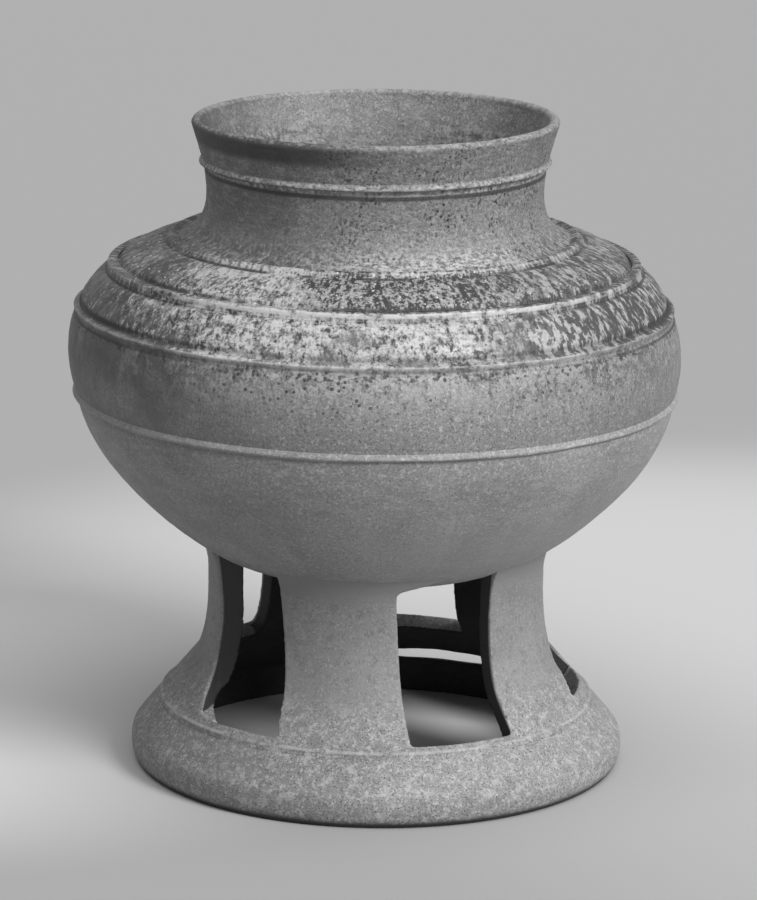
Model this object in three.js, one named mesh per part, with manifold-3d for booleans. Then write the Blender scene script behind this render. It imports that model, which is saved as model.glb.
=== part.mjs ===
// Footed stoneware jar: a squat round body under a short flared neck, on a tall openwork pedestal.
// Millimetres, +Z up, origin at the centre of the ring that it stands on, front towards -Y.
// Thrown pieces are rings and shells turned on the wheel axis, so each is an outline in
// (radius, height) that is swept once round Z. Strips of clay are luted into shallow grooves.

import * as THREE from 'three';
import { mergeVertices } from 'three/addons/utils/BufferGeometryUtils.js';
import Module from 'manifold-3d';

const wasm = await Module();
wasm.setup();

// Shared by all pieces
const slipFilm = 0.3;
const turnSteps = 60;
const bodyCurveSteps = 8;
const smallCurveSteps = 5;
const edgeSteps = 4;
const cutterSpare = 5;

// Pedestal
const pedestalHeight = 77.6;
const collarRadius = 60.2;
const collarDepth = 6;
const stemRadius = 57.2;
const stemNarrowestHeight = 63.8;
const stemFootHeight = 36.3;
const stemFootRadius = 62;
const stemCurveDrop = 4;
const flangeEdgeRadius = 83.3;
const flangeEdgeHeight = 11;
const flangeLipRadius = 84.1;
const flangeLipHeight = 6.6;
const flangeUnderInset = 0.7;
const flangeUnderHeight = 2.4;
const flangeThickness = 7.4;
const standingRingRadius = 81.5;
const standingRingWidth = 6.5;
const pedestalWall = 5.7;

// Windows of the pedestal: where each is, in degrees from the front towards the right, spaced
// by eye, and their widths measured round the stem
const windowAngles = [25.4, 89.5, 164.5, 235.5, 316];
const windowTopWidth = 32.8;
const windowSillWidth = 29.4;
const windowHeadroom = 4.3;
const windowSillHeight = 24.8;
const windowSillRadius = 71;
const windowSillSlope = 50;
const windowCornerRadius = 2.5;
const windowEdgeSteps = 5;

// A crack that opened in the firing, low in the wall at the back right
const crackAngle = 152;
const crackWidth = 56;
const crackHeight = 4.4;
const crackRadius = 74;
const crackRise = 13.8;
const crackFall = 16;
const crackSteps = 12;

// Body
const bodyWall = 6;
const bellyRadius = 101;
const bowlDepth = 72.1;
const bowlFloorSpread = 42.3;
const bowlSideInset = 3.6;
const bowlSideDrop = 32.4;
const shoulderRise = 53.3;
const shoulderSwell = 6.9;
const shoulderSwellRise = 22;
const shoulderCrownRadius = 98.8;
const shoulderCrownDrop = 6.6;
const tongueHeight = 3;
const tongueThickness = 3;

// Neck
const neckRise = 39.7;
const neckFootRadius = 64.4;
const neckFootEdge = 0.5;
const neckWaistRadius = 56.5;
const neckWaistRise = 14;
const neckSkirtReach = 3.6;
const neckSkirtRise = 1.7;
const neckSkirtTop = 6;
const neckWall = 4.8;
const neckSeatDepth = 1.2;
const neckFlareRise = 9;
const neckInsideRise = 11;
const rimRadius = 61.4;
const rimFlareInset = 3.1;
const rimFlareDrop = 10;
const rimInsideInset = 3.5;
const rimInsideDrop = 9;
const lipThickness = 3.4;

// Strips: width along the wall, how far they stand proud, and how deep they are let in
const stripSeat = 0.9;
const bellyStrip = { width: 3, proud: 1.3 };
const lowerShoulderStrip = { width: 2.6, proud: 1, rise: 28.9 };
const upperShoulderStrip = { width: 3.4, proud: 1.3, rise: 43.3 };
const neckRootStrip = { width: 3.8, proud: 1.5, offset: 3.7 };
const neckStrip = { width: 3.4, proud: 1.2, rise: 25 };

const at = (radius, height) => new THREE.Vector2(radius, height);

// Outer faces, from the foot to the rim

const stemCurve = new THREE.QuadraticBezierCurve(
  at(stemFootRadius, stemFootHeight),
  at(stemRadius, (stemFootHeight + stemNarrowestHeight) / 2 - stemCurveDrop),
  at(stemRadius, stemNarrowestHeight),
);

function bowlCurve(base) {
  return new THREE.CubicBezierCurve(
    at(0, base),
    at(bowlFloorSpread, base),
    at(bellyRadius - bowlSideInset, base + bowlDepth - bowlSideDrop),
    at(bellyRadius, base + bowlDepth),
  );
}

// The part of a curve where its radius or height passes a value, by halving
function shareWhere(curve, passed, from, to) {
  let low = from;
  let high = to;
  for (let step = 0; step < 40; step += 1) {
    const middle = (low + high) / 2;
    if (passed(curve.getPoint(middle))) {
      high = middle;
    } else {
      low = middle;
    }
  }
  return (low + high) / 2;
}

const windowTopHeight = pedestalHeight - windowHeadroom;

// The bowl rests where its underside is as wide as the collar, so its base follows from that
const restShare = shareWhere(bowlCurve(0), (point) => point.x > collarRadius, 0, 1);
const bowlBase = pedestalHeight - bowlCurve(0).getPoint(restShare).y;
const seamHeight = bowlBase + bowlDepth;
const shoulderTop = seamHeight + shoulderRise;
const rimHeight = shoulderTop + neckRise;
const mouthRadius = neckWaistRadius - neckWall;
const shoulderEdgeRadius = neckFootRadius + slipFilm;

const lowerCurve = bowlCurve(bowlBase);

const shoulderCurve = new THREE.CubicBezierCurve(
  at(bellyRadius, seamHeight),
  at(bellyRadius + shoulderSwell, seamHeight + shoulderSwellRise),
  at(shoulderCrownRadius, shoulderTop - shoulderCrownDrop),
  at(shoulderEdgeRadius, shoulderTop),
);

const neckFootCurve = new THREE.CubicBezierCurve(
  at(neckFootRadius, shoulderTop + neckFootEdge),
  at(neckWaistRadius + neckSkirtReach, shoulderTop + neckSkirtRise),
  at(neckWaistRadius, shoulderTop + neckSkirtTop),
  at(neckWaistRadius, shoulderTop + neckWaistRise),
);

const lipCentre = at(rimRadius - lipThickness / 2, rimHeight - lipThickness / 2);

const neckCurve = new THREE.CubicBezierCurve(
  at(neckWaistRadius, shoulderTop + neckWaistRise),
  at(neckWaistRadius, shoulderTop + neckWaistRise + neckFlareRise),
  at(rimRadius - rimFlareInset, lipCentre.y - rimFlareDrop),
  at(rimRadius, lipCentre.y),
);

const neckInsideCurve = new THREE.CubicBezierCurve(
  at(rimRadius - lipThickness, lipCentre.y),
  at(rimRadius - lipThickness - rimInsideInset, lipCentre.y - rimInsideDrop),
  at(mouthRadius, shoulderTop + neckWaistRise + neckInsideRise),
  at(mouthRadius, shoulderTop + neckWaistRise),
);

// Points, normals and offsets of a curve; the normal points away from the clay

function outwardNormal(curve, share) {
  const tangent = curve.getTangent(share);
  return at(tangent.y, -tangent.x);
}

function offsetPoints(curve, steps, distance) {
  const points = [];
  for (let step = 0; step <= steps; step += 1) {
    const share = step / steps;
    const shift = outwardNormal(curve, share).multiplyScalar(distance);
    points.push(curve.getPoint(share).add(shift));
  }
  return points;
}

function arcPoints(centre, radius, fromAngle, toAngle, steps) {
  const points = [];
  for (let step = 0; step <= steps; step += 1) {
    const angle = THREE.MathUtils.degToRad(fromAngle + ((toAngle - fromAngle) * step) / steps);
    points.push(at(centre.x + radius * Math.cos(angle), centre.y + radius * Math.sin(angle)));
  }
  return points;
}

// Solids

function toSolid(geometry) {
  const bare = geometry.clone();
  bare.deleteAttribute('normal');
  bare.deleteAttribute('uv');
  const merged = mergeVertices(bare, 1e-4);
  const corners = merged.index.array;
  const triangles = [];
  for (let i = 0; i < corners.length; i += 3) {
    const [a, b, c] = [corners[i], corners[i + 1], corners[i + 2]];
    if (a !== b && b !== c && c !== a) {
      triangles.push(a, b, c);
    }
  }
  return new wasm.Manifold(new wasm.Mesh({
    numProp: 3,
    vertProperties: Float32Array.from(merged.attributes.position.array),
    triVerts: Uint32Array.from(triangles),
  }));
}

function toGeometry(solid) {
  const { vertProperties, triVerts } = solid.getMesh();
  const geometry = new THREE.BufferGeometry();
  geometry.setAttribute('position', new THREE.BufferAttribute(Float32Array.from(vertProperties), 3));
  geometry.setIndex(new THREE.BufferAttribute(Uint32Array.from(triVerts), 1));
  geometry.computeVertexNormals();
  return geometry;
}

// An outline that runs up its outer side and down its inner side, swept round Z
function turned(outline) {
  return toSolid(new THREE.LatheGeometry(outline, turnSteps).rotateX(Math.PI / 2));
}

function turnedRing(outline) {
  return turned([...outline, outline[0].clone()]);
}

function without(solid, cutters) {
  return cutters.reduce((rest, cutter) => rest.subtract(cutter), solid);
}

// Strips and the grooves that they sit in

function seatOnWall(curve, share, strip) {
  const normal = outwardNormal(curve, share);
  return { ...strip, centre: curve.getPoint(share), normal, along: at(-normal.y, normal.x) };
}

function wallPoint(seat, along, out) {
  return seat.centre.clone().addScaledVector(seat.along, along).addScaledVector(seat.normal, out);
}

function stripSolid(seat) {
  const half = seat.width / 2;
  const ridge = arcPoints(at(0, 0), 1, 180, 0, edgeSteps);
  return turnedRing([
    ...ridge.map((point) => wallPoint(seat, half * point.x, seat.proud * point.y)),
    wallPoint(seat, half, -stripSeat),
    wallPoint(seat, -half, -stripSeat),
  ]);
}

function grooveSolid(seat) {
  const half = seat.width / 2 + slipFilm;
  const depth = stripSeat + slipFilm;
  return turnedRing([
    wallPoint(seat, -half, seat.proud),
    wallPoint(seat, half, seat.proud),
    wallPoint(seat, half, -depth),
    wallPoint(seat, -half, -depth),
  ]);
}

function shareAtHeight(curve, height) {
  return shareWhere(curve, (point) => point.y > height, 0, 1);
}

const bellySeat = {
  ...bellyStrip,
  centre: at(bellyRadius, seamHeight),
  normal: at(1, 0),
  along: at(0, 1),
};
const lowerShoulderSeat = seatOnWall(
  shoulderCurve,
  shareAtHeight(shoulderCurve, seamHeight + lowerShoulderStrip.rise),
  lowerShoulderStrip,
);
const upperShoulderSeat = seatOnWall(
  shoulderCurve,
  shareAtHeight(shoulderCurve, seamHeight + upperShoulderStrip.rise),
  upperShoulderStrip,
);
const neckRootSeat = seatOnWall(
  shoulderCurve,
  shareWhere(shoulderCurve, (point) => point.x < neckFootRadius + neckRootStrip.offset, 0.5, 1),
  neckRootStrip,
);
const neckSeat = seatOnWall(
  neckCurve,
  shareAtHeight(neckCurve, shoulderTop + neckStrip.rise),
  neckStrip,
);

// Thrown pieces

function lowerBowl() {
  const tongueOuter = bellyRadius - bodyWall + tongueThickness;
  const inside = offsetPoints(lowerCurve, bodyCurveSteps, -bodyWall).reverse();
  inside[inside.length - 1].x = 0;
  const tongueInner = inside[0].x;
  const shell = turned([
    ...lowerCurve.getPoints(bodyCurveSteps),
    at(tongueOuter, seamHeight),
    at(tongueOuter, seamHeight + tongueHeight),
    at(tongueInner, seamHeight + tongueHeight),
    ...inside,
  ]);
  return without(shell, [grooveSolid(bellySeat)]);
}

function shoulder() {
  const inside = offsetPoints(shoulderCurve, bodyCurveSteps, -bodyWall).reverse();
  const shell = turnedRing([
    ...shoulderCurve.getPoints(bodyCurveSteps),
    at(mouthRadius, shoulderTop),
    at(mouthRadius, inside[0].y),
    ...inside,
  ]);
  const tongueRoom = bellyRadius - bodyWall + tongueThickness + slipFilm;
  const lapCutter = turned([
    at(0, seamHeight - cutterSpare),
    at(bellyRadius + cutterSpare, seamHeight - cutterSpare),
    at(bellyRadius + cutterSpare, seamHeight + slipFilm),
    at(tongueRoom, seamHeight + slipFilm),
    at(tongueRoom, seamHeight + tongueHeight + slipFilm),
    at(0, seamHeight + tongueHeight + slipFilm),
  ]);
  const neckRebate = turned([
    at(0, shoulderTop - neckSeatDepth),
    at(shoulderEdgeRadius, shoulderTop - neckSeatDepth),
    at(shoulderEdgeRadius, shoulderTop + cutterSpare),
    at(0, shoulderTop + cutterSpare),
  ]);
  const seats = [bellySeat, lowerShoulderSeat, upperShoulderSeat, neckRootSeat];
  return without(shell, [lapCutter, neckRebate, ...seats.map(grooveSolid)]);
}

function neck() {
  const bottom = shoulderTop - neckSeatDepth + slipFilm;
  const shell = turnedRing([
    at(mouthRadius, bottom),
    at(neckFootRadius, bottom),
    ...neckFootCurve.getPoints(smallCurveSteps),
    ...neckCurve.getPoints(smallCurveSteps).slice(1),
    ...arcPoints(lipCentre, lipThickness / 2, 0, 180, edgeSteps).slice(1),
    ...neckInsideCurve.getPoints(smallCurveSteps).slice(1),
  ]);
  return without(shell, [grooveSolid(neckSeat)]);
}

// The room that the bowl takes up, with its film of slip
function bowlRoom() {
  const underside = offsetPoints(lowerCurve, 2 * bodyCurveSteps, slipFilm);
  underside[0].x = 0;
  return turned([...underside, at(0, seamHeight)]);
}

// Pushes an outline, drawn in millimetres round the stem and up it, out through the wall.
// Its edges point at the wheel axis, and lift says how far a point rises at each radius.
function wallCutter(outline, angle, nearRadius, farRadius, lift) {
  const geometry = new THREE.ExtrudeGeometry(outline, {
    depth: farRadius - nearRadius,
    bevelEnabled: false,
    curveSegments: crackSteps,
  });
  const places = geometry.attributes.position;
  for (let index = 0; index < places.count; index += 1) {
    const turn = THREE.MathUtils.degToRad(angle) + places.getX(index) / stemRadius;
    const radius = nearRadius + places.getZ(index);
    const height = places.getY(index) + lift(radius, places.getY(index));
    places.setXYZ(index, radius * Math.sin(turn), -radius * Math.cos(turn), height);
  }
  return toSolid(geometry);
}

// A window is a little narrower at its sill, with rounded corners
function windowOutline() {
  const corners = [
    at(-windowSillWidth / 2, windowSillHeight),
    at(windowSillWidth / 2, windowSillHeight),
    at(windowTopWidth / 2, windowTopHeight),
    at(-windowTopWidth / 2, windowTopHeight),
  ];
  const towards = (corner, other) => other.clone().sub(corner).setLength(windowCornerRadius).add(corner);
  const points = [];
  corners.forEach((corner, index) => {
    const before = corners[(index + 3) % 4];
    const after = corners[(index + 1) % 4];
    const bend = new THREE.QuadraticBezierCurve(towards(corner, before), corner, towards(corner, after));
    const edge = new THREE.LineCurve(towards(corner, after), towards(after, corner));
    points.push(...bend.getPoints(2), ...edge.getPoints(windowEdgeSteps).slice(1, -1));
  });
  return new THREE.Shape(points);
}

// The knife was held square to the flared wall, so the sill falls away inwards
function windowCutter(angle) {
  const fall = Math.tan(THREE.MathUtils.degToRad(windowSillSlope));
  const depthBelowTop = windowTopHeight - windowSillHeight;
  const lift = (radius, height) => (
    ((radius - windowSillRadius) * fall * (windowTopHeight - height)) / depthBelowTop
  );
  const reach = 2 * pedestalWall;
  return wallCutter(windowOutline(), angle, stemRadius - reach, windowSillRadius + reach, lift);
}

// The crack is a lens drawn on the wall that falls outwards through it
function crackCutter() {
  const lens = new THREE.Shape();
  lens.absellipse(0, crackRise, crackWidth / 2, crackHeight / 2, 0, 2 * Math.PI);
  const fall = Math.tan(THREE.MathUtils.degToRad(crackFall));
  const lift = (radius) => (crackRadius - radius) * fall;
  return wallCutter(lens, crackAngle, stemRadius, crackRadius + 3 * pedestalWall, lift);
}

function pedestal() {
  const inside = offsetPoints(stemCurve, smallCurveSteps, -pedestalWall).reverse();
  const ring = turnedRing([
    at(standingRingRadius, 0),
    at(flangeLipRadius - flangeUnderInset, flangeUnderHeight),
    at(flangeLipRadius, flangeLipHeight),
    at(flangeEdgeRadius, flangeEdgeHeight),
    ...stemCurve.getPoints(smallCurveSteps),
    at(stemRadius, pedestalHeight - collarDepth),
    at(collarRadius, pedestalHeight),
    at(stemRadius - pedestalWall, pedestalHeight),
    ...inside,
    at(flangeEdgeRadius - flangeThickness, flangeEdgeHeight),
    at(standingRingRadius - standingRingWidth, 0),
  ]);
  return without(ring, [bowlRoom(), crackCutter(), ...windowAngles.map(windowCutter)]);
}

// Assembly

const stoneware = { pedestal: 0x8d8b88, body: 0x8a8885, ash: 0x9b9995, neck: 0x7d7b79 };

function piece(name, solid, colour, roughness) {
  const material = new THREE.MeshStandardMaterial({ color: colour, roughness, metalness: 0 });
  const mesh = new THREE.Mesh(toGeometry(solid), material);
  mesh.name = name;
  return mesh;
}

const jar = new THREE.Group();
jar.add(
  piece('pedestal', pedestal(), stoneware.pedestal, 0.85),
  piece('lower_bowl', lowerBowl(), stoneware.body, 0.8),
  piece('belly_cordon', stripSolid(bellySeat), stoneware.body, 0.75),
  piece('shoulder', shoulder(), stoneware.ash, 0.55),
  piece('lower_shoulder_cordon', stripSolid(lowerShoulderSeat), stoneware.ash, 0.55),
  piece('upper_shoulder_cordon', stripSolid(upperShoulderSeat), stoneware.ash, 0.55),
  piece('neck_root_cordon', stripSolid(neckRootSeat), stoneware.ash, 0.6),
  piece('neck', neck(), stoneware.neck, 0.75),
  piece('neck_cordon', stripSolid(neckSeat), stoneware.neck, 0.7),
);

export default jar;
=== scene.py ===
"""Footed stoneware jar: fine clay surfaces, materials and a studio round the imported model."""
import math

import bpy
import bmesh
import numpy as np
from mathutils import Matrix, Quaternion, Vector, noise


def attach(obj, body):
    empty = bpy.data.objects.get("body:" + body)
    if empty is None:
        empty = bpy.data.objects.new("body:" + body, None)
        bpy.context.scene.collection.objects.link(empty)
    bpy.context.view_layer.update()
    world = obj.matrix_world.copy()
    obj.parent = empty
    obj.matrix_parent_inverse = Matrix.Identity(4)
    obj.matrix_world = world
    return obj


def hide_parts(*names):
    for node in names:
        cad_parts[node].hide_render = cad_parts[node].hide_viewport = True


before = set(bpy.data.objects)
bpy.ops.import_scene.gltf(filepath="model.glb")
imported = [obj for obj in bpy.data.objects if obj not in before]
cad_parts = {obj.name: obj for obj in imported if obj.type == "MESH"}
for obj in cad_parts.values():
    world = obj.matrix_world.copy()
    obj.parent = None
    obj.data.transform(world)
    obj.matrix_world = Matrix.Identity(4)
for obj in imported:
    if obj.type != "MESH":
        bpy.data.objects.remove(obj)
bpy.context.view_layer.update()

MM = 0.001

# Sizes of the foot, in millimetres
PEDESTAL_HEIGHT = 77.6
COLLAR_RADIUS = 60.2
STEM_RADIUS = 57.2
STEM_NARROWEST_HEIGHT = 63.8
STEM_FOOT = (62, 36.3)
FLANGE_EDGE = (83.3, 11)
FLANGE_LIP = (84.1, 6.6)
STANDING_RING_RADIUS = 81.5
STANDING_RING_WIDTH = 6.5
FLANGE_THICKNESS = 7.4
PEDESTAL_WALL = 5.7
RIDGE_HEIGHT = 22.6

# More places on the foot's outer side, as (radius, height), for its material
FLANGE_MIDDLE = (73, 23.6)
STEM_MIDDLE = (58.6, 46)
STEM_TOP = (57.2, 66)

# Sizes of the body and neck, in millimetres
BODY_WALL = 6
BELLY_RADIUS = 101
BOWL_DEPTH = 72.1
BOWL_FLOOR_SPREAD = 42.3
FLOOR_LIFT = 4
FLOOR_LIFT_SPAN = (33, 60)
BOWL_SIDE_INSET = 3.6
BOWL_SIDE_DROP = 32.4
SHOULDER_RISE = 53.3
SHOULDER_SWELL = (6.9, 22)
SHOULDER_CROWN = (98.8, 6.6)
NECK_RISE = 39.7
NECK_FOOT_RADIUS = 64.4
NECK_WAIST_RADIUS = 56.5
NECK_WAIST_RISE = 14
NECK_WALL = 4.8
RIM_RADIUS = 61.4
LIP_THICKNESS = 3.4
MOUTH_RADIUS = NECK_WAIST_RADIUS - NECK_WALL

# Windows. Angles in degrees run from the front towards +X, and left and right
# are as seen from outside: top left, sill left, top right, sill right, then the heights of the
# top's left end, the top's right end and the sill's outer edge, and how far the left edge bows
# out and leans in, in degrees
WINDOWS = [
    (6.8, 9.5, 42.9, 39.2, 74.8, 80.6, 24.5, 0, 0),
    (86.0, 73.5, 108.0, 104.0, 75.8, 74.8, 27.0, 9, 0),
    (147.8, 150.5, 181.0, 180.0, 74.8, 76.8, 31.3, 0, 0),
    (225.5, 223.0, 253.0, 250.0, 76.8, 75.8, 32.9, 0, 0),
    (290.5, 305.0, 326.0, 333.0, 77.0, 77.0, 25.0, -5, 9),
]
WINDOW_CORNER = 2.0
SILL_SLOPE = 54
WINDOW_CUT = (45, 88)
CUT_CLEARANCE = 0.5
CUT_REACH = 1.4

# The crack low in the foot's wall at the back right
CRACK_ANGLE = 156
CRACK_SPAN = 66
CRACK_HEIGHT = 3.5
CRACK_RADIUS = 74
CRACK_RISE = 14.5
CRACK_FALL = 16
CRACK_CUT = (58, 92)

# Painted pools of light on the floor: centre, half width, half depth and level
FLOOR_LIGHT_POOLS = [
    (250, 100, 300, 450, 0.48),
    (90, 230, 330, 260, 0.57),
    (-185, 60, 240, 210, 0.64),
    (0, 42, 64, 44, 0.85),
]

# Lamps: name, direction from the front towards +X, height, softness (all in degrees), strength
LAMPS = [
    ("overhead", 20, 68, 60, 1.5),
    ("side", 46, 35, 22, 2.3),
]
SKY_STRENGTH = 0.3
FLOOR_LEVEL = 0.37
BACKGROUND_LEVEL = 0.55

# For the materials: the body's mean radius, and a length that makes the foot's outline 0 to 1
MEAN_RADIUS = 88
OUTER_SCALE = 90

# Surface of the clay
SEGMENTS = 480
LUMP_SIZE = 26
LUMP_DEPTH = 0.28
GRAIN_SIZE = 4.0
GRAIN_FLATNESS = 2.2
GRAIN_DEPTH = 0.09
PEDESTAL_SEGMENTS = 240
PEDESTAL_VOXEL = 0.55

# Strips: half their spread as a share of the named width, and how far their edges sink in
STRIP_SPREAD = 0.72
STRIP_SINK = 0.35

# How the jar departs from a true turned shape: angles in degrees, and its sway to its right in
# millimetres at some heights
LEAN = 0.7
RIM_TILT = -0.5
SWAY_HEIGHTS = [0, 62, 102, 152, 187, 224]
SWAY = [0, 0, 0.45, -0.6, -0.1, 0]
OUT_OF_ROUND = 0.0022
CAMERA_ROLL = 0.7


# Outlines in (radius, height), millimetres

def bezier(points, steps):
    """A Bezier curve through 3 or 4 control points."""
    share = np.linspace(0, 1, steps + 1)[:, None]
    level = [np.asarray(point, float) + 0 * share for point in points]
    while len(level) > 1:
        level = [a * (1 - share) + b * share for a, b in zip(level, level[1:])]
    return level[0]


def arc(centre, radius, start, end, steps):
    angle = np.radians(np.linspace(start, end, steps + 1))
    return np.stack([centre[0] + radius * np.cos(angle), centre[1] + radius * np.sin(angle)], 1)


def outward(line):
    """Unit normals of a line that runs up its outer side."""
    along = np.gradient(line, axis=0)
    along /= np.linalg.norm(along, axis=1)[:, None]
    return np.stack([along[:, 1], -along[:, 0]], 1)


def offset(line, distance):
    return line + outward(line) * distance


def travelled(line):
    step = np.linalg.norm(np.diff(line, axis=0), axis=1)
    return np.concatenate([[0], np.cumsum(step)])


def respaced(line, gap):
    """The same line with points at an even gap."""
    along = travelled(line)
    count = max(2, int(round(along[-1] / gap)))
    places = np.linspace(0, along[-1], count + 1)
    return np.stack([np.interp(places, along, line[:, i]) for i in (0, 1)], 1)


def bowl_line(base):
    return bezier([
        (0, base),
        (BOWL_FLOOR_SPREAD, base),
        (BELLY_RADIUS - BOWL_SIDE_INSET, base + BOWL_DEPTH - BOWL_SIDE_DROP),
        (BELLY_RADIUS, base + BOWL_DEPTH),
    ], 200)


def height_at(line, radius):
    return float(np.interp(radius, line[:, 0], line[:, 1]))


def radius_at(line, height):
    return float(np.interp(height, line[:, 1], line[:, 0]))


BOWL_BASE = PEDESTAL_HEIGHT - height_at(bowl_line(0), COLLAR_RADIUS)
SEAM = BOWL_BASE + BOWL_DEPTH
SHOULDER_TOP = SEAM + SHOULDER_RISE
RIM_HEIGHT = SHOULDER_TOP + NECK_RISE
LIP_CENTRE = (RIM_RADIUS - LIP_THICKNESS / 2, RIM_HEIGHT - LIP_THICKNESS / 2)

STEM = bezier([
    STEM_FOOT,
    (STEM_RADIUS, (STEM_FOOT[1] + STEM_NARROWEST_HEIGHT) / 2 - 4),
    (STEM_RADIUS, STEM_NARROWEST_HEIGHT),
], 24)
PEDESTAL_OUTSIDE = np.concatenate([[FLANGE_EDGE], STEM])
BOWL_OUTSIDE = bowl_line(BOWL_BASE)
SHOULDER_OUTSIDE = bezier([
    (BELLY_RADIUS, SEAM),
    (BELLY_RADIUS + SHOULDER_SWELL[0], SEAM + SHOULDER_SWELL[1]),
    (SHOULDER_CROWN[0], SHOULDER_TOP - SHOULDER_CROWN[1]),
    (NECK_FOOT_RADIUS + 0.3, SHOULDER_TOP),
], 300)
NECK_OUTSIDE = bezier([
    (NECK_WAIST_RADIUS, SHOULDER_TOP + NECK_WAIST_RISE),
    (NECK_WAIST_RADIUS, SHOULDER_TOP + NECK_WAIST_RISE + 9),
    (RIM_RADIUS - 3.1, LIP_CENTRE[1] - 10),
    (RIM_RADIUS, LIP_CENTRE[1]),
], 120)
NECK_INSIDE = bezier([
    (RIM_RADIUS - LIP_THICKNESS, LIP_CENTRE[1]),
    (RIM_RADIUS - LIP_THICKNESS - 3.5, LIP_CENTRE[1] - 9),
    (MOUTH_RADIUS, SHOULDER_TOP + NECK_WAIST_RISE + 11),
    (MOUTH_RADIUS, SHOULDER_TOP + NECK_WAIST_RISE),
], 80)


class Strip:
    """A luted strip: where it sits on its wall, its width and how far it stands proud."""

    def __init__(self, line, index, width, proud):
        self.line = line
        self.centre = line[index]
        self.normal = outward(line)[index]
        self.along = np.array([-self.normal[1], self.normal[0]])
        self.place = travelled(line)[index]
        self.width = width
        self.proud = proud


def at_height(line, height):
    return int(np.argmin(np.abs(line[:, 1] - height)))


ROOT_RADIUS = NECK_FOOT_RADIUS + 3.7
BELLY_STRIP = Strip(SHOULDER_OUTSIDE, 0, 3, 1.3)
LOWER_STRIP = Strip(SHOULDER_OUTSIDE, at_height(SHOULDER_OUTSIDE, SEAM + 28.9), 2.6, 1.0)
UPPER_STRIP = Strip(SHOULDER_OUTSIDE, at_height(SHOULDER_OUTSIDE, SEAM + 43.3), 3.4, 1.3)
ROOT_STRIP = Strip(
    SHOULDER_OUTSIDE,
    int(np.argmin(np.abs(SHOULDER_OUTSIDE[150:, 0] - ROOT_RADIUS))) + 150,
    3.6,
    1.0,
)
NECK_STRIP = Strip(NECK_OUTSIDE, at_height(NECK_OUTSIDE, SHOULDER_TOP + 25), 3.4, 1.2)


# How far along the wall the grooves lie from the middle of their strips
LOWER_GROOVE = 2.3
UPPER_GROOVE = 2.8
ROOT_GROOVE = 2.8


def run_at(line, place):
    """Height less radius, in millimetres, at a place along a line. It rises up the shoulder."""
    along = travelled(line)
    return float(np.interp(place, along, line[:, 1]) - np.interp(place, along, line[:, 0]))


def grooved(line, grooves):
    """Presses grooves into a line; each is (place along the line, depth, half width)."""
    along = travelled(line)
    depth = np.zeros(len(line))
    for place, deep, half in grooves:
        depth += deep * np.exp(-(((along - place) / half) ** 2))
    return line - outward(line) * depth[:, None]


# Meshes

def mesh_object(name, points, faces):
    mesh = bpy.data.meshes.new(name)
    mesh.from_pydata(points, [], faces)
    body = bmesh.new()
    body.from_mesh(mesh)
    bmesh.ops.remove_doubles(body, verts=body.verts, dist=1e-7)
    bmesh.ops.recalc_face_normals(body, faces=body.faces)
    body.to_mesh(mesh)
    body.free()
    mesh.shade_smooth()
    thing = bpy.data.objects.new(name, mesh)
    bpy.context.scene.collection.objects.link(thing)
    return thing


def turned(name, outline, segments, closed):
    """Sweeps an outline round the wheel axis; a closed outline makes a ring."""
    count = len(outline)
    angle = np.linspace(0, 2 * math.pi, segments, endpoint=False)
    radius, height = outline[:, 0] * MM, outline[:, 1] * MM
    points = np.stack([
        np.outer(np.cos(angle), radius),
        np.outer(np.sin(angle), radius),
        np.outer(np.ones(segments), height),
    ], 2).reshape(-1, 3)
    faces = []
    for turn in range(segments):
        here, there = turn * count, ((turn + 1) % segments) * count
        for i in range(count if closed else count - 1):
            j = (i + 1) % count
            faces.append((here + i, there + i, there + j, here + j))
    return mesh_object(name, points.tolist(), faces)


def vertex_arrays(mesh):
    count = len(mesh.vertices)
    points = np.empty(count * 3)
    normals = np.empty(count * 3)
    mesh.vertices.foreach_get("co", points)
    mesh.vertex_normals.foreach_get("vector", normals)
    return points.reshape(-1, 3), normals.reshape(-1, 3)


def clay_relief(point):
    """Height of the clay above its ideal surface, in millimetres, at a place in metres."""
    place = Vector(point) / MM
    lumps = noise.noise(place / LUMP_SIZE)
    squeezed = Vector((place.x, place.y, place.z * GRAIN_FLATNESS)) / GRAIN_SIZE
    return LUMP_DEPTH * lumps + GRAIN_DEPTH * noise.noise(squeezed)


def smooth_step(value, low, high):
    share = np.clip((value - low) / (high - low), 0, 1)
    return share * share * (3 - 2 * share)


def lean_by_hand(points):
    """The jar leans a little to its right, its rim tilts and its wall isn't quite round."""
    height = points[:, 2] / MM
    angle = np.arctan2(points[:, 1], points[:, 0])
    sway = np.interp(height, SWAY_HEIGHTS, SWAY)
    sway -= height * math.tan(math.radians(LEAN))
    neck = smooth_step(height, SHOULDER_TOP, RIM_HEIGHT)
    tilt = -math.tan(math.radians(RIM_TILT)) * points[:, 0] * neck
    round_error = OUT_OF_ROUND * np.cos(2 * angle + 0.7) * smooth_step(height, 20, 120)
    points[:, 0] += sway * MM + points[:, 0] * round_error
    points[:, 1] += points[:, 1] * round_error
    points[:, 2] += tilt
    return points


def finish_surface(thing):
    """Adds the clay's relief, except where the foot stands, and the jar's departures."""
    mesh = thing.data
    points, normals = vertex_arrays(mesh)
    height = np.array([clay_relief(point) for point in points])
    standing = smooth_step(points[:, 2] / MM, 0.5, 4)
    points += normals * (height * standing * MM)[:, None]
    points = lean_by_hand(points)
    mesh.vertices.foreach_set("co", points.ravel())
    mesh.update()
    mesh.shade_smooth()


def place_piece(thing, node, material):
    thing.data.materials.append(material)
    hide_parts(node)
    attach(thing, "root")


# Materials

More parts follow.
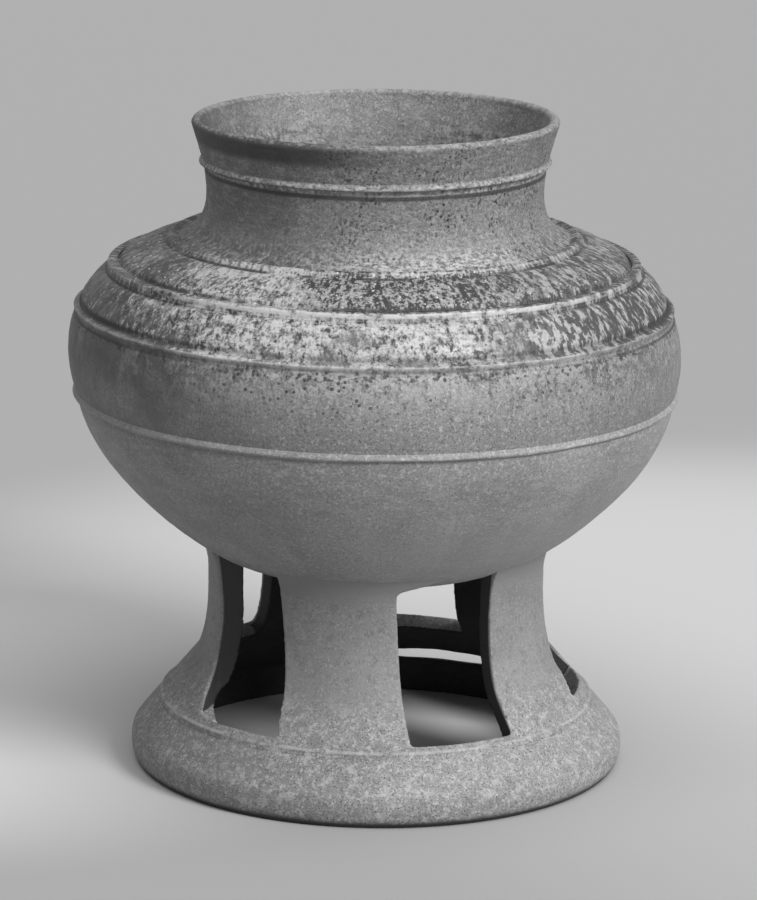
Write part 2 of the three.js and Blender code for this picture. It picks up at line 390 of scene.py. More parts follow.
class Clay:
    """Builds a procedural fired-clay material node by node. Sizes are in millimetres."""

    def __init__(self, name, roughness):
        self.material = bpy.data.materials.new(name)
        self.material.use_nodes = True
        self.nodes = self.material.node_tree.nodes
        self.links = self.material.node_tree.links
        self.shader = self.nodes["Principled BSDF"]
        self.shader.inputs["Roughness"].default_value = roughness
        self.shader.inputs["IOR"].default_value = 1.45
        self.place = self.nodes.new("ShaderNodeTexCoord").outputs["Object"]
        self.find_wall()

    def find_wall(self):
        """Radius, height, run (height less radius) and a vector that follows the wall."""
        node = self.nodes.new("ShaderNodeSeparateXYZ")
        self.links.new(self.place, node.inputs[0])
        x, y, z = [self.times(output, 1 / MM) for output in node.outputs]
        self.x = self.plus(x, self.times(z, math.tan(math.radians(LEAN))))
        self.y = y
        self.height = z
        self.radius = self.maths("SQRT", self.plus(self.times(self.x, self.x),
                                                   self.times(y, y)))
        self.run = self.minus(z, self.radius)
        self.side = self.maths("DIVIDE", self.x, self.radius)
        self.back = self.maths("DIVIDE", y, self.radius)

    def wire(self, value, socket):
        if isinstance(value, bpy.types.NodeSocket):
            self.links.new(value, socket)
        else:
            socket.default_value = value

    def maths(self, operation, a, b=0.0):
        node = self.nodes.new("ShaderNodeMath")
        node.operation = operation
        self.wire(a, node.inputs[0])
        self.wire(b, node.inputs[1])
        return node.outputs[0]

    def plus(self, a, b):
        return self.maths("ADD", a, b)

    def minus(self, a, b):
        return self.maths("SUBTRACT", a, b)

    def times(self, a, b):
        return self.maths("MULTIPLY", a, b)

    def wall_vector(self, stretch):
        """Goes round the wall at one mean radius, so that noise can be stretched up the wall."""
        node = self.nodes.new("ShaderNodeCombineXYZ")
        self.links.new(self.times(self.side, MEAN_RADIUS), node.inputs["X"])
        self.links.new(self.times(self.back, MEAN_RADIUS), node.inputs["Y"])
        self.links.new(self.times(self.run, 1 / stretch), node.inputs["Z"])
        return node.outputs[0]

    def noise(self, size, detail=4.0, rough=0.55, stretch=None, twist=0.0):
        """Noise with features of about the given size, 0 to 1."""
        node = self.nodes.new("ShaderNodeTexNoise")
        if stretch:
            self.links.new(self.wall_vector(stretch), node.inputs["Vector"])
            node.inputs["Scale"].default_value = 1 / size
        else:
            self.links.new(self.place, node.inputs["Vector"])
            node.inputs["Scale"].default_value = 1 / (size * MM)
        node.inputs["Detail"].default_value = detail
        node.inputs["Roughness"].default_value = rough
        node.inputs["Distortion"].default_value = twist
        return node.outputs["Fac"]

    def dots(self, spacing, radius, share):
        """Scattered round dots; share says how many of the places hold one."""
        node = self.nodes.new("ShaderNodeTexVoronoi")
        self.links.new(self.place, node.inputs["Vector"])
        node.inputs["Scale"].default_value = 1 / (spacing * MM)
        pick = self.nodes.new("ShaderNodeSeparateColor")
        self.links.new(node.outputs["Color"], pick.inputs[0])
        reach = radius / spacing
        inside = self.band(node.outputs["Distance"], reach * 1.25, reach * 0.75)
        return self.times(inside, self.band(pick.outputs[0], 1 - share, 1 - share * 0.9))

    def band(self, value, low, high):
        """0 at low, 1 at high, with a soft step between."""
        node = self.nodes.new("ShaderNodeMapRange")
        node.interpolation_type = "SMOOTHSTEP"
        self.wire(value, node.inputs["Value"])
        node.inputs["From Min"].default_value = low
        node.inputs["From Max"].default_value = high
        return node.outputs["Result"]

    def line(self, run, half):
        """1 along a line round the wall, 0 further than half from it."""
        away = self.maths("ABSOLUTE", self.minus(self.run, run))
        return self.band(away, half, half * 0.4)

    def facing(self, angle, wide, narrow):
        """1 on the side at an angle from the front; wide and narrow are where it starts."""
        turn = math.radians(angle)
        toward = self.minus(self.times(self.side, math.sin(turn)),
                            self.times(self.back, math.cos(turn)))
        return self.band(toward, math.cos(math.radians(wide)), math.cos(math.radians(narrow)))

    def mix(self, share, a, b):
        node = self.nodes.new("ShaderNodeMix")
        node.data_type = "RGBA"
        self.wire(share, node.inputs["Factor"])
        self.wire(a, node.inputs["A"])
        self.wire(b, node.inputs["B"])
        return node.outputs["Result"]

    def blend_value(self, share, a, b):
        node = self.nodes.new("ShaderNodeMix")
        node.data_type = "FLOAT"
        self.wire(share, node.inputs["Factor"])
        self.wire(a, node.inputs["A"])
        self.wire(b, node.inputs["B"])
        return node.outputs["Result"]

    def bump(self, height, strength, distance, under=None):
        node = self.nodes.new("ShaderNodeBump")
        node.inputs["Strength"].default_value = strength
        node.inputs["Distance"].default_value = distance * MM
        self.links.new(height, node.inputs["Height"])
        if under is not None:
            self.links.new(under, node.inputs["Normal"])
        return node.outputs["Normal"]

    def speckled(self, level, pale, dark):
        """The fired body: wide cloudiness with pale and dark grains of sand in it."""
        cloud = self.noise(55, 3.0)
        grain = self.noise(1.1, 3.0, 0.7)
        sand = self.noise(0.6, 2.0, 0.6)
        colour = self.mix(self.band(cloud, 0.35, 0.65), grey(level * 0.88), grey(level * 1.12))
        colour = self.mix(self.times(self.band(grain, 0.5, 0.68), pale), colour,
                          grey(level * 2.1))
        colour = self.mix(self.times(self.band(sand, 0.5, 0.32), dark), colour,
                          grey(level * 0.25))
        return colour, grain, sand

    def paint_left_shade(self, colour, strength):
        """Painted shade: the left of the jar made darker, in clouds."""
        cloud = self.band(self.noise(20, 4.0, 0.6), 0.3, 0.62)
        share = self.times(self.facing(-75, 80, 15), self.plus(self.times(cloud, 0.5), 0.5))
        return self.mix(self.times(share, strength), colour, grey(0.09))

    def done(self, colour, roughness, normal):
        self.links.new(colour, self.shader.inputs["Base Color"])
        self.wire(roughness, self.shader.inputs["Roughness"])
        self.links.new(normal, self.shader.inputs["Normal"])
        return self.material


def grey(level):
    return (level, level, level, 1)


def foot_stoneware():
    """Dry clay, smooth on the pillars, coarse on the flange; painted shade darkens its inside.
    """
    clay = Clay("foot_stoneware", 0.72)
    flange = clay.band(clay.radius, 60, 68)
    pale = clay.blend_value(flange, 0.3, 0.75)
    dark = clay.blend_value(flange, 0.35, 0.8)
    colour, grain, sand = clay.speckled(0.265, pale, dark)
    blotch = clay.noise(3.2, 4.0, 0.65)
    colour = clay.mix(clay.times(clay.band(blotch, 0.52, 0.66), clay.times(flange, 0.5)),
                      colour, grey(0.5))
    colour = clay.mix(clay.times(clay.band(blotch, 0.47, 0.33), 0.4), colour, grey(0.13))
    colour = clay.mix(clay.band(clay.height, 66, 74), colour, grey(0.26))
    # The outer outline by height, so that the painted shade finds the inside of the wall
    outer = clay.nodes.new("ShaderNodeFloatCurve")
    clay.links.new(clay.times(clay.height, 1 / OUTER_SCALE), outer.inputs["Value"])
    curve = outer.mapping.curves[0]
    curve.points[0].location = (0, FLANGE_LIP[0] / OUTER_SCALE)
    curve.points[1].location = (1, COLLAR_RADIUS / OUTER_SCALE)
    for radius, height in (FLANGE_EDGE, FLANGE_MIDDLE, STEM_FOOT, STEM_MIDDLE, STEM_TOP):
        curve.points.new(height / OUTER_SCALE, radius / OUTER_SCALE)
    outer.mapping.update()
    depth = clay.minus(clay.times(outer.outputs["Value"], OUTER_SCALE), clay.radius)
    surface = clay.nodes.new("ShaderNodeNewGeometry").outputs["Normal"]
    upward = clay.nodes.new("ShaderNodeSeparateXYZ")
    clay.links.new(surface, upward.inputs[0])
    # Painted shade on the foot's left side
    colour = clay.paint_left_shade(colour, 0.4)
    # Painted highlight: a pale broken line along the ridge on the flange
    away = clay.maths("ABSOLUTE", clay.minus(clay.height, RIDGE_HEIGHT + 0.3))
    ridge = clay.times(clay.band(away, 0.6, 0.2), clay.band(clay.noise(9, 3.0), 0.36, 0.56))
    colour = clay.mix(clay.times(ridge, 0.45), colour, grey(0.5))
    # Painted shade: near black on the foot's inside and on cut faces that don't face up
    painted_inner_shade = clay.times(clay.band(depth, 0.5, 1.2), clay.band(upward.outputs["Z"], 0.57, 0.48))
    colour = clay.mix(clay.times(painted_inner_shade, 0.95), colour, grey(0.02))
    normal = clay.bump(blotch, 0.3, 0.5)
    normal = clay.bump(grain, 0.45, 0.25, normal)
    normal = clay.bump(sand, 0.35, 0.15, normal)
    return clay.done(colour, 0.74, normal)


def bowl_stoneware():
    """Fine clay, brushed round on the wheel, with a few pale streaks."""
    clay = Clay("bowl_stoneware", 0.66)
    colour, grain, sand = clay.speckled(0.3, 0.45, 0.55)
    brush = clay.noise(9, 5.0, 0.6, stretch=0.16)
    colour = clay.mix(clay.times(clay.band(brush, 0.5, 0.7), 0.35), colour, grey(0.42))
    colour = clay.mix(clay.times(clay.band(brush, 0.48, 0.3), 0.35), colour, grey(0.19))
    streak = clay.noise(16, 5.0, 0.62, stretch=0.5, twist=1.4)
    colour = clay.mix(clay.times(clay.band(streak, 0.6, 0.72), 0.4), colour, grey(0.48))
    under_belly = clay.band(clay.height, SEAM - 22, SEAM - 2)
    ash = clay.noise(1.8, 4.0, 0.7)
    colour = clay.mix(clay.times(clay.band(ash, 0.56, 0.64), clay.times(under_belly, 0.55)),
                      colour, grey(0.55))
    # Painted light: the lower bowl paler on its right side
    painted_right_light = clay.times(clay.facing(55, 70, 15), clay.band(clay.height, 115, 85))
    colour = clay.mix(clay.times(painted_right_light, 0.5), colour, grey(0.46))
    # Painted shade on the bowl's left side
    colour = clay.paint_left_shade(colour, 0.45)
    normal = clay.bump(brush, 0.25, 0.35)
    normal = clay.bump(grain, 0.35, 0.2, normal)
    normal = clay.bump(sand, 0.25, 0.12, normal)
    return clay.done(colour, 0.66, normal)


def ash_glaze():
    """Clay under ash that fell and melted on the shoulder: thick in front, thin at the sides."""
    clay = Clay("ash_glazed_stoneware", 0.6)
    lower, upper, root = [run_at(strip.line, strip.place) - strip.proud * 0.6
                          for strip in (LOWER_STRIP, UPPER_STRIP, ROOT_STRIP)]
    lower_groove = run_at(LOWER_STRIP.line, LOWER_STRIP.place + LOWER_GROOVE)
    upper_groove = run_at(UPPER_STRIP.line, UPPER_STRIP.place + UPPER_GROOVE)
    root_groove = run_at(ROOT_STRIP.line, ROOT_STRIP.place - ROOT_GROOVE)

    colour, grain, sand = clay.speckled(0.29, 0.55, 0.7)
    front = clay.facing(4, 75, 10)
    right = clay.facing(70, 60, 15)
    between = clay.times(clay.band(clay.run, lower - 1, lower + 2),
                         clay.band(clay.run, upper + 3, upper))
    above = clay.times(clay.band(clay.run, upper, upper + 3),
                       clay.band(clay.radius, NECK_FOOT_RADIUS - 6, NECK_FOOT_RADIUS - 2))
    fading = clay.band(clay.run, lower - 26, lower - 1)
    pools = clay.noise(24, 5.0, 0.6, stretch=0.6, twist=0.7)
    fleck = clay.noise(1.9, 4.0, 0.66, stretch=2.2)
    drop = clay.noise(0.9, 3.0, 0.65)
    cover = clay.plus(clay.times(fleck, 0.62), clay.times(drop, 0.38))

    # Painted shade on the shoulder's left side
    colour = clay.paint_left_shade(colour, 0.8)
    uneven = clay.times(clay.minus(pools, 0.5), clay.blend_value(above, 2.6, 2.0))
    patch = clay.facing(-34, 24, 6)
    gathered = clay.plus(clay.times(patch, 0.6), 0.14)
    thick = clay.plus(clay.blend_value(above, clay.times(front, 0.55), gathered), uneven)
    lift = clay.plus(cover, clay.times(clay.minus(thick, 0.35), 0.13))
    share = clay.plus(clay.times(fading, clay.plus(clay.times(front, 0.35), 0.2)),
                      clay.times(clay.plus(between, above), 0.7))
    bright = clay.times(clay.band(lift, 0.51, 0.6), share)
    bare = clay.times(clay.band(lift, 0.5, 0.44), clay.plus(share, clay.times(right, 0.25)))
    colour = clay.mix(clay.times(bare, 0.9), colour, grey(0.035))
    paleness = clay.blend_value(above, 0.85, clay.plus(clay.times(patch, 0.4), 0.4))
    colour = clay.mix(clay.times(bright, paleness), colour, grey(0.48))
    melt = clay.times(clay.times(between, clay.band(thick, 0.35, 1.2)), 0.8)
    colour = clay.mix(clay.times(melt, clay.band(cover, 0.36, 0.56)), colour, grey(0.58))
    cloud = clay.times(clay.band(pools, 0.5, 0.36), clay.times(between, 0.6))
    colour = clay.mix(cloud, colour, grey(0.2))
    white = clay.times(clay.dots(2.0, 0.34, 0.4), above)
    colour = clay.mix(white, colour, grey(0.66))
    dash = clay.noise(2.2, 3.0, 0.6, stretch=3.2)
    ends = clay.times(clay.maths("MAXIMUM", right, clay.times(clay.facing(-75, 45, 10), 0.6)),
                      clay.plus(between, clay.times(above, 0.7)))
    colour = clay.mix(clay.times(ends, clay.band(dash, 0.5, 0.46)), colour, grey(0.05))
    colour = clay.mix(clay.times(clay.times(ends, right), clay.band(dash, 0.54, 0.6)), colour,
                      grey(0.42))
    colour = clay.mix(clay.times(right, 0.2), colour, grey(0.1))
    below = clay.times(clay.band(clay.run, lower - 30, lower - 8),
                       clay.band(clay.run, lower + 1, lower - 2))
    clumps = clay.band(clay.noise(12, 3.0), 0.4, 0.54)
    # Painted shade: clouds of dark on the left below the lower strip
    shade_clouds = clay.band(clay.noise(14, 4.0, 0.6), 0.3, 0.52)
    painted_shade_below = clay.times(clay.facing(-58, 34, 8), clay.times(below, shade_clouds))
    colour = clay.mix(clay.times(painted_shade_below, 0.6), colour, grey(0.045))
    specks = clay.times(clay.dots(2.1, 0.57, 0.65), clay.times(below, clay.times(front, clumps)))
    colour = clay.mix(clay.times(specks, 0.9), colour, grey(0.03))

    # Painted shade: dark lines in the grooves by the strips and under their crests, broken by
    # noise
    patchy = clay.band(clay.noise(24, 3.0, 0.6, stretch=3.0), 0.4, 0.52)
    sides = clay.minus(1.0, clay.times(front, 0.85))
    spotted = clay.times(clay.band(clay.noise(2.2, 2.0, 0.6), 0.46, 0.38), 0.8)
    for place, half, strength in (
        (lower_groove, 2.3, clay.times(sides, 0.95)),
        (upper_groove, 2.0, clay.times(patchy, 0.85)),
        (root_groove, 1.4, clay.times(patchy, 0.85)),
        (lower - 3.5, 2.2, spotted),
        (lower - 2.6, 0.9, clay.times(sides, 0.8)),
        (upper - 3.0, 1.1, clay.times(sides, 0.8)),
    ):
        colour = clay.mix(clay.times(clay.line(place, half), strength), colour, grey(0.03))
    # Pale ash and painted highlight along the strips' crests, strongest in front
    crest_ash_and_highlight = clay.band(clay.noise(7, 4.0, 0.65, stretch=0.5), 0.36, 0.56)
    for place, half, strength in ((lower, 1.0, 0.4), (upper, 1.3, 0.9), (root, 0.9, 0.4)):
        along = clay.times(clay.plus(clay.times(front, 0.8), 0.2), crest_ash_and_highlight)
        shown = clay.times(clay.line(place, half), clay.times(along, strength))
        colour = clay.mix(shown, colour, grey(0.62))

    normal = clay.bump(cover, 0.45, 0.5)
    normal = clay.bump(grain, 0.35, 0.2, normal)
    normal = clay.bump(sand, 0.25, 0.12, normal)
    glassy = clay.maths("MAXIMUM", bright, melt)
    return clay.done(colour, clay.blend_value(glassy, 0.62, 0.38), normal)


def neck_stoneware():
    """Pitted clay with dark specks, and pale ash on the skirt and along the cordon."""
    clay = Clay("neck_stoneware", 0.66)
    colour, grain, sand = clay.speckled(0.22, 0.6, 0.7)
    # Painted shade on the neck's left side
    colour = clay.paint_left_shade(colour, 0.75)
    speck = clay.noise(1.1, 3.0, 0.7)
    right = clay.plus(clay.times(clay.facing(35, 80, 20), 0.7), 0.3)
    clumped = clay.plus(clay.times(clay.band(clay.noise(11, 3.0), 0.46, 0.6), 0.7), 0.3)
    colour = clay.mix(clay.times(clay.band(speck, 0.46, 0.37), clay.times(right, clumped)),
                      colour, grey(0.025))
    brush = clay.noise(8, 5.0, 0.6, stretch=0.2)
    colour = clay.mix(clay.times(clay.band(brush, 0.48, 0.34), 0.4), colour, grey(0.1))
    colour = clay.mix(clay.times(clay.band(brush, 0.52, 0.68), 0.3), colour, grey(0.38))
    ash = clay.noise(2.6, 5.0, 0.7, stretch=0.6)
    front = clay.facing(18, 40, 10)
    outside = clay.band(clay.radius, MOUTH_RADIUS + 2.2, MOUTH_RADIUS + 3.2)
    # Painted shade: dark on the left of the neck just under the rim
    painted_shade_under_rim = clay.times(clay.band(clay.height, RIM_HEIGHT - 9, RIM_HEIGHT - 6),
                           clay.times(clay.facing(-50, 62, 20), outside))
    colour = clay.mix(clay.times(painted_shade_under_rim, 0.85), colour, grey(0.035))
    spots = clay.times(clay.dots(2.0, 0.5, 0.6), clay.times(clay.facing(22, 50, 15), outside))
    colour = clay.mix(clay.times(spots, clumped), colour, grey(0.025))
    skirt = clay.band(clay.height, SHOULDER_TOP + 7, SHOULDER_TOP + 1)
    fleck = clay.noise(1.9, 4.0, 0.66, stretch=1.6)
    dark_flecks = clay.times(skirt, clay.band(fleck, 0.53, 0.42))
    pale_flecks = clay.times(skirt, clay.band(fleck, 0.54, 0.64))
    colour = clay.mix(clay.times(dark_flecks, 0.75), colour, grey(0.05))
    colour = clay.mix(clay.times(pale_flecks, 0.4), colour, grey(0.45))
    cordon = clay.line(run_at(NECK_OUTSIDE, NECK_STRIP.place) - 0.4, 1.5)
    # Painted shade: a dark line under the neck cordon
    painted_shade_under_cordon = clay.line(run_at(NECK_OUTSIDE, NECK_STRIP.place) - 2.4, 1.0)
    colour = clay.mix(clay.times(painted_shade_under_cordon, 0.8), colour, grey(0.03))
    rim = clay.band(clay.height, RIM_HEIGHT - 1.6, RIM_HEIGHT - 0.5)
    mouth = clay.times(clay.minus(1.0, outside), clay.maths("ABSOLUTE", clay.side))
    shown = clay.plus(clay.times(skirt, front),
                      clay.plus(clay.times(cordon, 0.75), clay.times(rim, 0.35)))
    shown = clay.plus(shown, clay.times(mouth, 0.5))
    colour = clay.mix(clay.times(clay.band(brush, 0.52, 0.4), mouth), colour, grey(0.05))
    colour = clay.mix(clay.times(clay.band(ash, 0.44, 0.6), shown), colour, grey(0.5))
    normal = clay.bump(brush, 0.25, 0.35)
    normal = clay.bump(speck, 0.5, 0.3, normal)
    normal = clay.bump(grain, 0.35, 0.2, normal)
    normal = clay.bump(sand, 0.25, 0.12, normal)
    return clay.done(colour, 0.64, normal)


# Pieces

def flatter_floor(line):
    """Lifts the bowl's floor, which is seen from below through the windows."""
    lift = FLOOR_LIFT * (1 - smooth_step(line[:, 0], *FLOOR_LIFT_SPAN))
    return line + np.stack([0 * lift, lift], 1)


def make_lower_bowl(material):
    outside = grooved(BOWL_OUTSIDE, [(travelled(BOWL_OUTSIDE)[-1], 0.5, 1.6)])
    outside = flatter_floor(respaced(outside, 0.9))
    inside = flatter_floor(respaced(offset(BOWL_OUTSIDE, -BODY_WALL)[::-1], 1.6))
    inside[-1, 0] = 0
    outside[0, 0] = 0
    thing = turned("fine_lower_bowl", np.concatenate([outside, inside]), SEGMENTS, False)
    finish_surface(thing)
    place_piece(thing, "lower_bowl", material)


def make_shoulder(material):
    line = SHOULDER_OUTSIDE
    grooves = [
        (LOWER_STRIP.place + LOWER_GROOVE, 0.8, 1.0),
        (LOWER_STRIP.place - 2.0, 0.3, 0.8),
        (UPPER_STRIP.place + UPPER_GROOVE, 1.0, 1.2),
        (UPPER_STRIP.place - 2.6, 0.4, 1.1),
        (ROOT_STRIP.place + 2.4, 0.5, 0.9),
        (ROOT_STRIP.place - ROOT_GROOVE, 0.5, 0.8),
    ]
    outside = respaced(grooved(line, grooves), 0.5)
    inside = respaced(offset(line, -BODY_WALL)[::-1], 1.6)
    edge = np.array([[MOUTH_RADIUS, SHOULDER_TOP], [MOUTH_RADIUS, inside[0, 1]]])
    thing = turned("fine_shoulder", np.concatenate([outside, edge, inside]), SEGMENTS, True)
    finish_surface(thing)
    place_piece(thing, "shoulder", material)


def make_neck(material):
    skirt = bezier([
        (NECK_FOOT_RADIUS + 1.6, SHOULDER_TOP - 0.6),
        (NECK_WAIST_RADIUS + 4.2, SHOULDER_TOP + 0.9),
        (NECK_WAIST_RADIUS, SHOULDER_TOP + 6),
        (NECK_WAIST_RADIUS, SHOULDER_TOP + NECK_WAIST_RISE),
    ], 60)
    under = NECK_STRIP.place - 1.9
    outside = grooved(NECK_OUTSIDE, [(under, 0.45, 0.8)])
    lip = arc(LIP_CENTRE, LIP_THICKNESS / 2, 0, 180, 12)
    bottom = SHOULDER_TOP - 3
    floor = np.array([[MOUTH_RADIUS, bottom], [NECK_FOOT_RADIUS, bottom]])
    outline = np.concatenate([
        respaced(skirt, 0.7),
        respaced(outside, 0.5)[1:],
        lip[1:],
        respaced(NECK_INSIDE, 1.0)[1:],
        floor,
    ])
    thing = turned("fine_neck", outline, SEGMENTS, True)
    finish_surface(thing)
    place_piece(thing, "neck", material)


def strip_outline(strip, sharp_below):
    """A soft ridge that runs out into the wall on both sides; sharp_below is the share by which
    its lower side is narrower."""
    half = strip.width * STRIP_SPREAD
    across = np.linspace(-1, 1, 17)
    rise = np.cos(across * math.pi / 2) ** 2 * (strip.proud + STRIP_SINK) - STRIP_SINK
    across = across * half
    across = np.where(across < 0, across * (1 - sharp_below), across)
    crest = strip.centre + np.outer(across, strip.along) + np.outer(rise, strip.normal)
    back = strip.centre + np.outer([half, -half], strip.along) - 1.2 * strip.normal
    return np.concatenate([crest, back])


def make_strip(name, node, strip, material, sharp_below=0.0):
    thing = turned(name, strip_outline(strip, sharp_below), SEGMENTS, True)
    finish_surface(thing)
    place_piece(thing, node, material)


def wall_cutter(outline, near, far, lift):
    """Pushes an outline of (angle in degrees, height, lean) through the wall towards the wheel
    axis. An edge with a lean turns by so many degrees for each wall's thickness that it goes in.
    The cutter starts at the radius near, inside the foot, and ends at far, outside it."""
    points = []
    for section in range(4):
        for angle, height, lean in outline:
            surface = radius_at(PEDESTAL_OUTSIDE, height) + CUT_CLEARANCE
            radius = (near, surface - CUT_REACH * PEDESTAL_WALL, surface, far)[section]
            turn = math.radians(angle + lean * (CUT_REACH if section < 2 else 0))
            rise = height + lift(radius, height)
            across, depth = radius * math.sin(turn), -radius * math.cos(turn)
            points.append((across * MM, depth * MM, rise * MM))
    count = len(outline)
    faces = [tuple(range(count)), tuple(range(4 * count - 1, 3 * count - 1, -1))]
    for start in (0, count, 2 * count):
        for i in range(count):
            j = (i + 1) % count
            faces.append((start + i, start + j, start + count + j, start + count + i))
    return mesh_object("cutter", points, faces)


def window_cutter(top_left, sill_left, top_right, sill_right, left_height, right_height, sill,
                  bow, lean):
    """A window with rounded corners, whose sill falls away inwards. Its values are explained at
    WINDOWS."""
    reach = STEM_RADIUS * math.pi / 180
    corners = [
        Vector((sill_left * reach, sill)),
        Vector((sill_right * reach, sill)),
        Vector((top_right * reach, right_height)),
        Vector((top_left * reach, left_height)),
    ]
    fall = math.tan(math.radians(SILL_SLOPE))
    edge = radius_at(PEDESTAL_OUTSIDE, sill)
    top = max(left_height, right_height)

    def turned_in(angle, height):
        """The lean is whole at the left edge and dies out towards the right one."""
        up = (height - sill) / (top - sill)
        left = sill_left + (top_left - sill_left) * up
        right = sill_right + (top_right - sill_right) * up
        return lean * (right - angle) / (right - left)

    line = []
    for index, corner in enumerate(corners):
        before, after = corners[index - 1], corners[(index + 1) % 4]
        leave = corner + (after - corner).normalized() * WINDOW_CORNER
        enter = corner + (before - corner).normalized() * WINDOW_CORNER
        arrive = after + (corner - after).normalized() * WINDOW_CORNER
        middle = (leave + arrive) / 2 + Vector((bow * reach * (index == 3), 0))
        line += bezier([enter, corner, leave], 5).tolist()
        line += bezier([leave, middle, arrive], 14)[1:-1].tolist()
    outline = [(across / reach, height, turned_in(across / reach, height))
               for across, height in line]

    def lift(radius, height):
        return (radius - edge) * fall * (top - height) / (top - sill)

    return wall_cutter(outline, *WINDOW_CUT, lift)


def crack_cutter():
    """A lens with a wavering edge that falls outwards through the wall."""
    turn = np.radians(np.arange(0, 360, 7.5))
    waver = 1 + 0.12 * np.sin(5 * turn + 1) + 0.08 * np.sin(11 * turn)
    across = CRACK_ANGLE + CRACK_SPAN / 2 * np.cos(turn)
    height = CRACK_RISE + CRACK_HEIGHT / 2 * np.sin(turn) * waver
    fall = math.tan(math.radians(CRACK_FALL))
    outline = [(angle, rise, 0) for angle, rise in zip(across.tolist(), height.tolist())]
    return wall_cutter(outline, *CRACK_CUT, lambda radius, _: (CRACK_RADIUS - radius) * fall)


def apply_modifiers(thing):
    depsgraph = bpy.context.evaluated_depsgraph_get()
    mesh = bpy.data.meshes.new_from_object(thing.evaluated_get(depsgraph))
    thing.modifiers.clear()
    thing.data = mesh


def make_pedestal(material):
    inner = offset(STEM, -PEDESTAL_WALL)[::-1]
    top = height_at(BOWL_OUTSIDE, COLLAR_RADIUS + 1.2) + 1.2
    collar = bezier([
        (STEM_RADIUS, STEM_NARROWEST_HEIGHT + 3),
        (STEM_RADIUS, PEDESTAL_HEIGHT - 2.6),
        (COLLAR_RADIUS + 1.2, top),
    ], 12)
    lip = bezier([
        (STANDING_RING_RADIUS, 0),
        (FLANGE_LIP[0] - 0.6, 0.4),
        (FLANGE_LIP[0] + 0.5, 3.9),
        (FLANGE_LIP[0] + 0.5, 8.4),
        FLANGE_EDGE,
    ], 14)
    outside = respaced(PEDESTAL_OUTSIDE, 0.8)
    ridge = travelled(outside)[at_height(outside, RIDGE_HEIGHT)]
    outside = grooved(outside, [(ridge, -0.7, 0.9), (ridge - 2, 0.3, 1.0)])
    outline = np.concatenate([
        lip[:-1],
        outside,
        collar,
        [(STEM_RADIUS - PEDESTAL_WALL, top)],
        inner,
        [(FLANGE_EDGE[0] - FLANGE_THICKNESS, FLANGE_EDGE[1])],
        [(STANDING_RING_RADIUS - STANDING_RING_WIDTH, 0)],
    ])
    thing = turned("fine_pedestal", outline, PEDESTAL_SEGMENTS, True)
    cutters = [window_cutter(*window) for window in WINDOWS] + [crack_cutter()]
    for cutter in cutters:
        cut = thing.modifiers.new("window", "BOOLEAN")
        cut.operation = "DIFFERENCE"
        cut.solver = "EXACT"
        cut.object = cutter
    skin = thing.modifiers.new("skin", "REMESH")
    skin.mode = "VOXEL"
    skin.voxel_size = PEDESTAL_VOXEL * MM
    skin.use_smooth_shade = True
    soften = thing.modifiers.new("soften", "SMOOTH")
    soften.factor = 0.5
    soften.iterations = 1
    apply_modifiers(thing)
    for cutter in cutters:
        bpy.data.objects.remove(cutter, do_unlink=True)
    finish_surface(thing)
    place_piece(thing, "pedestal", material)


# Studio

def make_floor():
    size = 8.0
    mesh = bpy.data.meshes.new("floor")
    mesh.from_pydata([(-size, -size, 0), (size, -size, 0), (size, size, 0), (-size, size, 0)],
                     [], [(0, 1, 2, 3)])
    floor = bpy.data.objects.new("floor", mesh)
    bpy.context.scene.collection.objects.link(floor)
    paper = Clay("floor_paper", 0.9)
    colour = grey(FLOOR_LEVEL)
    # Painted pools of light on the floor
    for x, y, wide, deep, level in FLOOR_LIGHT_POOLS:
        side = paper.times(paper.minus(paper.x, x), 1 / wide)
        depth = paper.times(paper.minus(paper.y, y), 1 / deep)
        spread = paper.plus(paper.times(side, side), paper.times(depth, depth))
        colour = paper.mix(paper.band(spread, 1.0, 0.0), colour, grey(level))
    paper.links.new(colour, paper.shader.inputs["Base Color"])
    paper.shader.inputs["Specular IOR Level"].default_value = 0.1
    mesh.materials.append(paper.material)


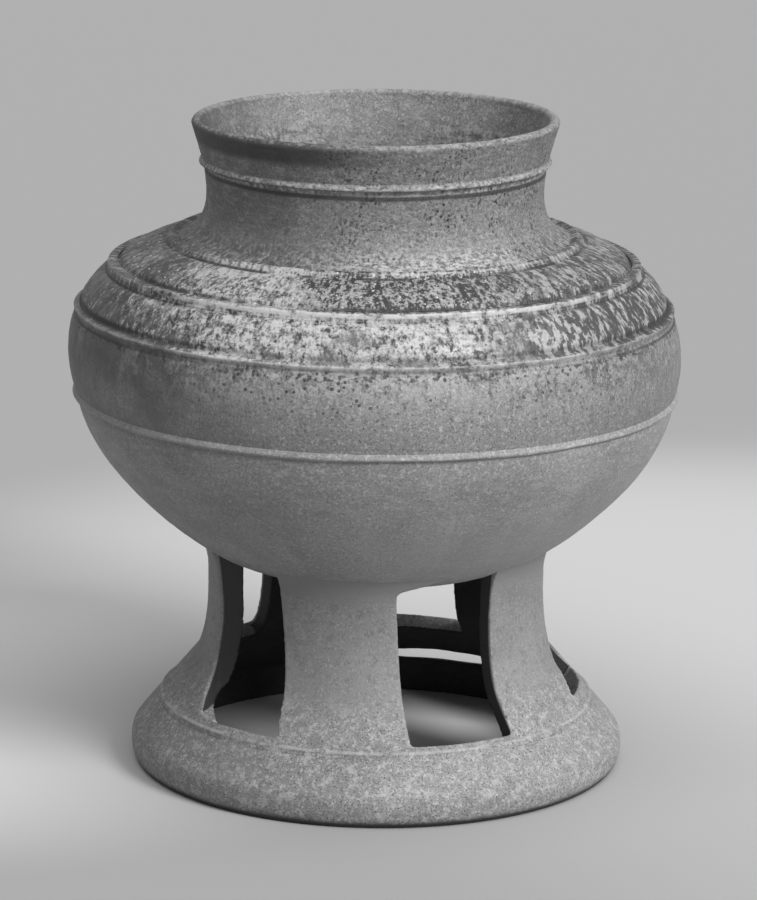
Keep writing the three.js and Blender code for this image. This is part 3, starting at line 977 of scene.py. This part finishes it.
def make_lights():
    world = bpy.data.worlds.new("studio")
    bpy.context.scene.world = world
    world.use_nodes = True
    nodes, links = world.node_tree.nodes, world.node_tree.links
    lamp = nodes["Background"]
    lamp.inputs["Color"].default_value = grey(1)
    lamp.inputs["Strength"].default_value = SKY_STRENGTH
    seen = nodes.new("ShaderNodeBackground")
    seen.inputs["Color"].default_value = grey(BACKGROUND_LEVEL)
    rays = nodes.new("ShaderNodeLightPath")
    either = nodes.new("ShaderNodeMath")
    either.operation = "MAXIMUM"
    links.new(rays.outputs["Is Camera Ray"], either.inputs[0])
    links.new(rays.outputs["Is Transmission Ray"], either.inputs[1])
    seen_rays = nodes.new("ShaderNodeMath")
    seen_rays.operation = "MAXIMUM"
    links.new(either.outputs[0], seen_rays.inputs[0])
    links.new(rays.outputs["Is Glossy Ray"], seen_rays.inputs[1])
    choice = nodes.new("ShaderNodeMixShader")
    links.new(seen_rays.outputs[0], choice.inputs["Fac"])
    links.new(lamp.outputs[0], choice.inputs[1])
    links.new(seen.outputs[0], choice.inputs[2])
    links.new(choice.outputs[0], nodes["World Output"].inputs["Surface"])
    for name, bearing, elevation, softness, strength in LAMPS:
        light = bpy.data.lights.new(name, "SUN")
        light.angle = math.radians(softness)
        light.energy = strength
        lamp_object = bpy.data.objects.new(name, light)
        turn, rise = math.radians(bearing), math.radians(elevation)
        towards = Vector((math.sin(turn) * math.cos(rise), -math.cos(turn) * math.cos(rise),
                          math.sin(rise)))
        lamp_object.location = towards
        lamp_object.rotation_euler = towards.to_track_quat("Z", "Y").to_euler()
        bpy.context.scene.collection.objects.link(lamp_object)


def make_camera():
    """The photograph's view: a long lens, looking down on the jar."""
    picture_height = 900
    focal_pixels = 4264
    pitch = math.radians(13.7)
    distance = 1.450
    aim = Vector((-0.0004, 0, 0.1075))
    camera = bpy.data.cameras.new("camera")
    camera.sensor_width = 36
    camera.lens = camera.sensor_width * focal_pixels / picture_height
    camera.clip_end = 50
    eye = bpy.data.objects.new("camera", camera)
    back = Vector((0, -math.cos(pitch), math.sin(pitch)))
    eye.location = aim + back * distance
    level = (-back).to_track_quat("-Z", "Y")
    eye.rotation_euler = (level @ Quaternion((0, 0, 1), math.radians(CAMERA_ROLL))).to_euler()
    bpy.context.scene.collection.objects.link(eye)
    bpy.context.scene.camera = eye


foot_clay = foot_stoneware()
bowl_clay = bowl_stoneware()
ash_clay = ash_glaze()
neck_clay = neck_stoneware()

make_lower_bowl(bowl_clay)
make_shoulder(ash_clay)
make_neck(neck_clay)
make_pedestal(foot_clay)
make_strip("fine_belly_cordon", "belly_cordon", BELLY_STRIP, bowl_clay)
make_strip("fine_lower_shoulder_cordon", "lower_shoulder_cordon", LOWER_STRIP,
           ash_clay)
make_strip("fine_upper_shoulder_cordon", "upper_shoulder_cordon", UPPER_STRIP,
           ash_clay)
make_strip("fine_neck_root_cordon", "neck_root_cordon", ROOT_STRIP, ash_clay)
make_strip("fine_neck_cordon", "neck_cordon", NECK_STRIP, neck_clay, 0.45)
make_floor()
make_lights()
make_camera()
bpy.context.scene.view_settings.view_transform = "Standard"
